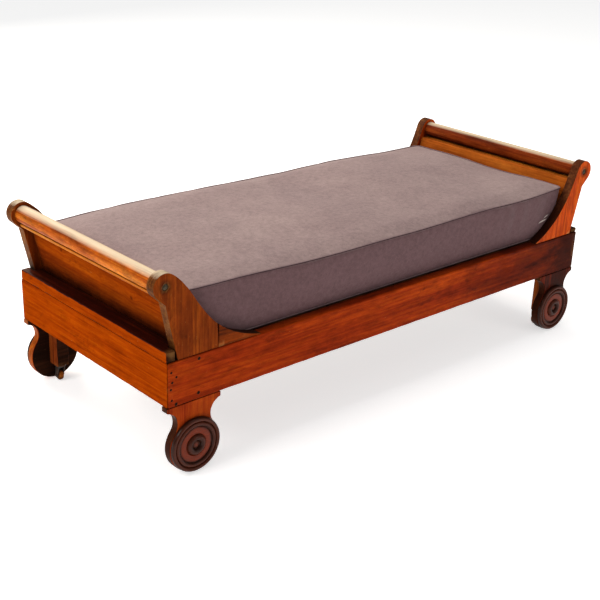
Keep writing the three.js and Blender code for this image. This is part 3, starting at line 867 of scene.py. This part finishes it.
def make_caster(end, side_name, woods):
    name = f"{end}_{side_name}_caster"
    for part, arris in IRON_ARRISES.items():
        node = frame["nodes"][f"{name}_{part}"]
        node.data.materials.clear()
        node.data.materials.append(woods["iron"])
        weld = node.modifiers.new("weld", "WELD")
        weld.merge_threshold = 1e-5
        bevel = node.modifiers.new("bevel", "BEVEL")
        bevel.width = arris
        bevel.segments = 2
        bevel.limit_method = "ANGLE"
        bevel.angle_limit = math.radians(40)
    low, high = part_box(f"{name}_wheel")
    centre = (low + high) / 2
    radius, half = (high.z - low.z) / 2, (high.x - low.x) / 2
    face = [(across if across > 0 else radius + across, sunk) for across, sunk in WHEEL_SIDE]
    profile = [(across, sunk - half) for across, sunk in face]
    profile += [(across, half - sunk) for across, sunk in reversed(face)]
    profile.append(profile[0])
    bm = turned(profile, 64)
    bmesh.ops.remove_doubles(bm, verts=bm.verts, dist=TINY)
    bmesh.ops.rotate(bm, verts=bm.verts, matrix=Matrix.Rotation(math.radians(90), 3, "Z"))
    wheel = smooth(object_from(bm, f"{name}_wheel_turned", centre))
    stand_for(wheel, f"{name}_wheel", woods["wheel"])


# ---- mattress ----


def edge_top(u):
    """Height of the top seam, which falls a little from head to foot."""
    return lerp(MATTRESS_HEAD_TOP, MATTRESS_FOOT_TOP, (u + 1) / 2)


def mattress_point(u, v, t):
    """A point of the cushion before it is filled: u and v run -1 to 1, t from bottom to top."""
    half_length = MATTRESS_HIGH.x - PIPING_RADIUS
    top = edge_top(u) - PIPING_RADIUS
    top_half = MATTRESS_TOP_HALF + MATTRESS_SIDE_BULGE * (1 - u**4)
    half = lerp(MATTRESS_BOTTOM_HALF, top_half, t) - PIPING_RADIUS
    corner_u = MATTRESS_CORNER / half_length
    corner_v = MATTRESS_CORNER / half
    a = (abs(u) - 1 + corner_u) / corner_u
    b = (abs(v) - 1 + corner_v) / corner_v
    if a > 0 and b > 0:
        scale = max(a, b) / math.hypot(a, b)
        u = math.copysign(1 - corner_u + corner_u * a * scale, u)
        v = math.copysign(1 - corner_v + corner_v * b * scale, v)
    half_length += MATTRESS_END_LEAN * t**1.5
    crown = MATTRESS_CROWN * (1 - u**4) * (1 - v**2) * t
    base = MATTRESS_LOW.z + PIPING_RADIUS
    return Vector((half_length * u, half * v, lerp(base, top, t) + crown))


def spread(count, margin):
    """Even steps from -1 to 1 with two extra close to each end for the corner curve."""
    inner = [lerp(-1 + margin, 1 - margin, i / count) for i in range(count + 1)]
    edge = [margin * k / 3 for k in range(3)]
    return [-1 + e for e in edge] + inner + [1 - e for e in reversed(edge)]


def mattress_mesh():
    """A closed box of quads. Returns it with the vertex loops of its two seams."""
    us = spread(COLUMNS, MATTRESS_CORNER / MATTRESS_HIGH.x)
    vs = spread(ROWS, MATTRESS_CORNER / MATTRESS_TOP_HALF)
    ts = [i / LAYERS for i in range(LAYERS + 1)]
    bm = bmesh.new()
    cache = {}

    def vertex(i, j, k):
        if (i, j, k) not in cache:
            cache[i, j, k] = bm.verts.new(mattress_point(us[i], vs[j], ts[k]))
        return cache[i, j, k]

    def quad(start, one, two):
        corners = []
        for a, b in ((0, 0), (1, 0), (1, 1), (0, 1)):
            corners.append(vertex(*(s + a * p + b * q for s, p, q in zip(start, one, two))))
        bm.faces.new(corners)

    along, across, high = (1, 0, 0), (0, 1, 0), (0, 0, 1)
    last_i, last_j, last_k = len(us) - 1, len(vs) - 1, len(ts) - 1
    for i in range(last_i):
        for j in range(last_j):
            for k in (0, last_k):
                quad((i, j, k), along, across)
    for k in range(last_k):
        for i in range(last_i):
            for j in (0, last_j):
                quad((i, j, k), along, high)
        for j in range(last_j):
            for i in (0, last_i):
                quad((i, j, k), across, high)
    bmesh.ops.recalc_face_normals(bm, faces=bm.faces)
    around = [(i, 0) for i in range(last_i)] + [(last_i, j) for j in range(last_j)]
    around += [(i, last_j) for i in range(last_i, 0, -1)] + [(0, j) for j in range(last_j, 0, -1)]
    bm.verts.index_update()
    seams = [[cache[i, j, k].index for i, j in around] for k in (0, last_k)]
    bottom = [cache[i, j, 0].index for i in range(last_i + 1) for j in range(last_j + 1)]
    return bm, seams, bottom


def fill_cushion(piece, pinned, limit):
    """Swells the cloth with air, then holds every point to within a limit of its start."""
    group = piece.vertex_groups.new(name="held")
    group.add(pinned, 1.0, "REPLACE")
    start = [vertex.co.copy() for vertex in piece.data.vertices]
    cloth = piece.modifiers.new("cloth", "CLOTH")
    cloth.settings.vertex_group_mass = "held"
    cloth.settings.mass = 0.02
    cloth.settings.tension_stiffness = 6
    cloth.settings.compression_stiffness = 6
    cloth.settings.shear_stiffness = 3
    cloth.settings.bending_stiffness = 0.3
    cloth.settings.use_pressure = True
    cloth.settings.uniform_pressure_force = 4.0
    cloth.settings.effector_weights.gravity = 0
    cloth.settings.quality = 4
    scene = bpy.context.scene
    for step in range(1, CLOTH_FRAMES + 1):
        scene.frame_set(step)
    apply_modifiers(piece)
    scene.frame_set(1)
    for vertex, before in zip(piece.data.vertices, start):
        move = vertex.co - before
        freed = smoothstep(MATTRESS_HIGH.x, MATTRESS_HIGH.x - CLOTH_STILL_END, abs(before.x))
        allowed = limit * freed
        if abs(vertex.normal.z) > SIDES_ARE_BELOW:
            allowed = limit
        if move.length > allowed:
            vertex.co = before + move * (allowed / move.length)


def pucker(piece):
    """Small pulls in the cloth beside the seams, soft folds where it is slack towards the foot,
    a slow unevenness over the flats, and seams that wander a little."""
    for vertex in piece.data.vertices:
        co = vertex.co
        normal = vertex.normal
        raised = smoothstep(MATTRESS_LOW.z, MATTRESS_LOW.z + 0.12, co.z)
        middle = smoothstep(MATTRESS_HIGH.x, MATTRESS_HIGH.x - 0.2, abs(co.x))
        shift = Vector((0, SEAM_WANDER * middle * noise.noise((co.x * 2.4, 3.1, 0.2)), 0))
        shift.z = TOP_SWELL * noise.noise((co.x * 2.6, co.y * 3.4, 1.7))
        if abs(normal.z) < SIDES_ARE_BELOW:
            from_top_seam = abs(co.z - edge_top(co.x / MATTRESS_HIGH.x))
            near_seam = min(abs(co.z - MATTRESS_LOW.z), from_top_seam)
            pull = SEAM_PULL * math.exp(-near_seam / SEAM_PULL_REACH)
            slack = SLACK_FOLD * smoothstep(SLACK_FROM, SLACK_TO, co.x) * abs(normal.y)
            folds = noise.noise((co.x * 20, co.y * 20, co.z * 3))
            shift += normal * ((pull + slack) * folds + 0.003 * noise.noise(co * 5))
        else:
            shift += normal * (0.0030 * noise.noise(co * 3.1) + 0.0012 * noise.noise(co * 9))
        vertex.co += shift * raised


def add_piping(name, loop, material):
    """A round cord sewn into a seam."""
    curve = bpy.data.curves.new(name, "CURVE")
    curve.dimensions = "3D"
    curve.bevel_depth = PIPING_RADIUS
    curve.bevel_resolution = 4
    spline = curve.splines.new("POLY")
    spline.points.add(len(loop) - 1)
    for point, co in zip(spline.points, loop):
        point.co = (*co, 1)
    spline.use_cyclic_u = True
    cord = bpy.data.objects.new(name, curve)
    bpy.context.scene.collection.objects.link(cord)
    made = as_mesh(cord)
    made.data.materials.append(material)
    made.data.shade_smooth()
    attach(made, "mattress")


def as_mesh(cord):
    """Turns a curve object into a mesh object of the same name."""
    graph = bpy.context.evaluated_depsgraph_get()
    mesh = bpy.data.meshes.new_from_object(cord.evaluated_get(graph))
    name = cord.name
    bpy.data.objects.remove(cord)
    bm = bmesh.new()
    bm.from_mesh(mesh)
    bmesh.ops.remove_doubles(bm, verts=bm.verts, dist=TINY)
    bmesh.ops.recalc_face_normals(bm, faces=bm.faces)
    return object_from(bm, name)


def make_mattress(cloth, piping):
    bm, seams, bottom = mattress_mesh()
    piece = object_from(bm, "mattress_cover")
    fill_cushion(piece, seams[1] + bottom, CLOTH_TRAVEL)
    pucker(piece)
    loops = [[piece.data.vertices[index].co.copy() for index in seam] for seam in seams]
    detail = piece.modifiers.new("detail", "SUBSURF")
    detail.levels = detail.render_levels = 1
    apply_modifiers(piece)
    piece.data.shade_smooth()
    stand_for(piece, "mattress", cloth)
    add_piping("mattress_bottom_piping", loops[0], piping)
    add_piping("mattress_top_piping", loops[1], piping)
    return piece


def make_slit(cover, material):
    """Two short splits in the side cloth near the foot, with the pale lining showing: flat
    spindles that follow the cloth."""
    bm = bmesh.new()
    for x, z, reach, gape, tilt in SLITS:
        rings = []
        for i in range(SLIT_STEPS + 1):
            along = lerp(-1, 1, i / SLIT_STEPS)
            open_share = 1 - along**2
            eye = Vector((x + along * reach, -1, z + along * reach * math.tan(tilt)))
            _, spot, normal, _ = cover.ray_cast(eye, Vector((0, 1, 0)))
            if open_share < TINY:
                rings.append([bm.verts.new(spot)])
                continue
            ring = []
            for k in range(SLIT_SIDES):
                angle = 2 * math.pi * k / SLIT_SIDES
                swell = Vector((0, 0, gape * math.cos(angle))) + normal * SLIT_PROUD * math.sin(angle)
                ring.append(bm.verts.new(spot + open_share * swell))
            rings.append(ring)
        join_rings(bm, rings)
    slit = object_from(bm, "mattress_slit")
    slit.data.materials.append(material)
    slit.data.shade_smooth()
    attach(slit, "mattress")


# ---- nails and plugs ----


def make_studs(name, places, radius, height, material):
    """Low domes on the front of the front rail, in one object."""
    bm = bmesh.new()
    turn = Matrix.Rotation(math.radians(90), 4, "X")
    dome = Matrix.Diagonal((radius, height, radius, 1)) @ turn
    for inward, z in places:
        at = Matrix.Translation((end_x(HEAD, inward), -HALF_WIDTH, z))
        bmesh.ops.create_uvsphere(bm, u_segments=14, v_segments=8, radius=1.0, matrix=at @ dome)
    studs = object_from(bm, name)
    studs.data.materials.append(material)
    studs.data.shade_smooth()
    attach(studs, "bedstead")


# ---- camera, light and floor ----


def make_camera():
    data = bpy.data.cameras.new("camera")
    data.lens = LENS_MM
    data.sensor_width = 36
    data.shift_x = CAMERA_SHIFT
    data.shift_y = CAMERA_SHIFT
    level = math.cos(CAMERA_ELEVATION)
    back = Vector((
        math.sin(CAMERA_AZIMUTH) * level,
        -math.cos(CAMERA_AZIMUTH) * level,
        math.sin(CAMERA_ELEVATION),
    ))
    right = (-back).cross(Vector((0, 0, 1))).normalized()
    up = back.cross(right)
    turn_right = right * math.cos(CAMERA_ROLL) + up * math.sin(CAMERA_ROLL)
    turn_up = up * math.cos(CAMERA_ROLL) - right * math.sin(CAMERA_ROLL)
    matrix = Matrix((turn_right, turn_up, back)).transposed().to_4x4()
    matrix.translation = Vector(CAMERA_AT)
    camera = bpy.data.objects.new("camera", data)
    camera.matrix_world = matrix
    bpy.context.scene.collection.objects.link(camera)
    bpy.context.scene.camera = camera


def area_light(name, at, towards, size, watts, colour):
    data = bpy.data.lights.new(name, "AREA")
    data.shape = "DISK"
    data.size = size
    data.energy = watts
    data.color = colour
    light = bpy.data.objects.new(name, data)
    light.location = at
    light.rotation_euler = (Vector(towards) - Vector(at)).to_track_quat("-Z", "Y").to_euler()
    bpy.context.scene.collection.objects.link(light)


def make_studio():
    scene = bpy.context.scene
    scene.view_settings.view_transform = "Standard"
    world = bpy.data.worlds.new("studio")
    world.use_nodes = True
    world.node_tree.nodes["Background"].inputs[0].default_value = (1, 1, 1, 1)
    world.node_tree.nodes["Background"].inputs[1].default_value = SKY_STRENGTH
    scene.world = world
    for lamp in LAMPS:
        area_light(*lamp)
    bm = bmesh.new()
    bmesh.ops.create_grid(bm, x_segments=1, y_segments=1, size=FLOOR_HALF)
    floor = object_from(bm, "floor")
    material, _, shader = new_material("floor")
    shader.inputs["Base Color"].default_value = (FLOOR_GREY, FLOOR_GREY, FLOOR_GREY, 1)
    shader.inputs["Roughness"].default_value = 1.0
    shader.inputs["Specular IOR Level"].default_value = 0.0
    shader.inputs["Emission Color"].default_value = (1, 1, 1, 1)
    shader.inputs["Emission Strength"].default_value = FLOOR_GLOW
    floor.data.materials.append(material)


# ---- assembly ----


def make_woods():
    rail = ((96, 22, 6), (146, 45, 10), (180, 68, 13))
    end = ((120, 38, 3), (154, 58, 4), (178, 76, 6))
    ledge = ((26, 7, 4), (54, 14, 7), (98, 34, 10))
    panel = ((92, 26, 5), (136, 52, 7), (164, 72, 10))
    lit_panel = ((120, 48, 10), (178, 88, 24), (206, 116, 38))
    pale = ((130, 56, 12), (184, 98, 24), (214, 136, 44))
    crest = ((84, 22, 5), (172, 78, 14), (218, 132, 38))
    foot_crest = ((58, 16, 6), (116, 42, 12), (164, 78, 26))
    scroll = ((86, 28, 6), (124, 50, 11), (156, 72, 16))
    foot_scroll = ((120, 32, 5), (194, 68, 8), (222, 100, 15))
    head_edge = ((46, 22, 8), (98, 52, 18), (138, 84, 32))
    lit_edge = ((96, 38, 8), (156, 72, 14), (196, 112, 32))
    foot_edge = ((40, 20, 12), (84, 42, 22), (124, 72, 38))
    toe = ((24, 10, 6), (72, 27, 8), (146, 60, 14))
    foot = ((80, 22, 7), (146, 46, 11), (180, 74, 16))
    # Painted shade: a darker copy of the foot wood, for the feet at the foot end.
    shaded_foot = ((24, 9, 6), (60, 18, 8), (120, 36, 12))
    # Painted shade: a very dark wood for the faces inside and under the bed; the ends of the ledges take
    # it too.
    inside = ((20, 10, 6), (34, 17, 10), (56, 28, 16))
    bare = ((70, 26, 10), (132, 56, 18), (168, 84, 32))
    tread = ((80, 36, 12), (150, 76, 26), (190, 110, 40))
    bog = ((14, 9, 7), (30, 20, 15), (48, 36, 26))
    weathered = ((34, 28, 22), (66, 58, 46), (100, 90, 74))
    eyes = [((end_x(side, SCROLL_IN), -SUPPORT_OUTER_Y, SCROLL_Z), EYE_SIZE) for side in ENDS.values()]
    sawn = {"figure": 0.3, "mottling": 0.3, "corner_shade": 0.6, "knots": eyes}
    return {
        "rail": wood(
            "rail_wood", "X", *rail,
            patch_scale=5.0, polish=0.02, mottling=0.38, deepen=("X", 0.2, 0.92, 0.9),
        ),
        "end": wood("end_wood", "Y", *end, patch_scale=2.4, figure=0.25, corner_shade=0.5, polish=0.0),
        "ledge": wood("ledge_wood", "Y", *ledge, patch_scale=5.0),
        "panel": wood(
            "panel_wood", "Y", *panel,
            patch_scale=4.0, polish=0.0, deepen=("Z", 0.50, 0.40, 0.66), knots=KNOTS,
        ),
        "lit_panel": wood("lit_panel_wood", "Y", *lit_panel, patch_scale=4.0, corner_shade=0.4),
        "roll_rail": wood("roll_rail_wood", "Y", *pale),
        # Painted highlight: the crown of both rolls and of the head edges paints cream on their tops.
        "head_roll": wood("head_roll_wood", "Y", *crest, mottling=0.5, crown=(0.56, 1.02, 0.9)),
        "foot_roll": wood("foot_roll_wood", "Y", *foot_crest, mottling=0.3, crown=(0.72, 1.04, 0.9)),
        "head_scroll": wood("head_scroll_wood", "Z", *scroll, **sawn),
        "foot_scroll": wood("foot_scroll_wood", "Z", *foot_scroll, **sawn),
        "head_edge": wood(
            "head_edge_wood", "X", *head_edge,
            deepen=("Z", 0.50, 0.39, 0.8), crown=(0.7, 1.0, 0.6),
        ),
        "lit_edge": wood("lit_edge_wood", "Z", *lit_edge, corner_shade=0.4),
        "foot_edge": wood("foot_edge_wood", "X", *foot_edge, deepen=("Z", 0.55, 0.42, 0.8)),
        "toe": wood("toe_wood", "X", *toe, patch_scale=9.0, corner_shade=0.4),
        "foot": wood("foot_wood", "Z", *foot, patch_scale=6.0),
        "shaded_foot": wood("shaded_foot_wood", "Z", *shaded_foot, patch_scale=9.0),
        "post": wood("post_wood", "Z", *bare, gloss=0.5),
        "inside": wood("inside_wood", "X", *inside, gloss=0.65, mottling=0.05),
        "wheel": wood("wheel_wood", "X", *tread, gloss=0.5),
        "peg": wood("peg_wood", "Y", *bog, gloss=0.4),
        "scroll_peg": wood("scroll_peg_wood", "Y", *weathered, gloss=0.5),
        "roundel": roundel_wood(),
        "iron": iron(),
    }


make_camera()
make_studio()
woods = make_woods()
make_box(woods)
for end in ENDS:
    make_roll(end, woods[f"{end}_roll"])
    for side in SIDES:
        make_support(end, side, woods)
        make_peg(end, side, woods["scroll_peg"])
        make_foot(end, side, woods)
        make_caster(end, side, woods)
nails = [(inward, RAIL_TOP - drop) for inward, drop in NAILS]
make_studs("rail_nails", nails, NAIL_RADIUS, NAIL_HEIGHT, woods["peg"])
make_studs("rail_plugs", PLUGS, PLUG_RADIUS, PLUG_HEIGHT, woods["peg"])
# The last colour of the mattress cloth is its painted shade on the sides; the piping's very dark side
# paints the shadow line under the seams.
cloth = fabric("mattress_cloth", linear(158, 134, 130), linear(142, 118, 116), linear(106, 78, 80))
piping = fabric(
    "piping_cloth", linear(146, 122, 122), linear(126, 102, 104), linear(62, 42, 46), sheen=0.0
)
lining = fabric("lining_cloth", linear(226, 214, 204), linear(206, 192, 182), linear(214, 200, 190))
make_slit(make_mattress(cloth, piping), lining)
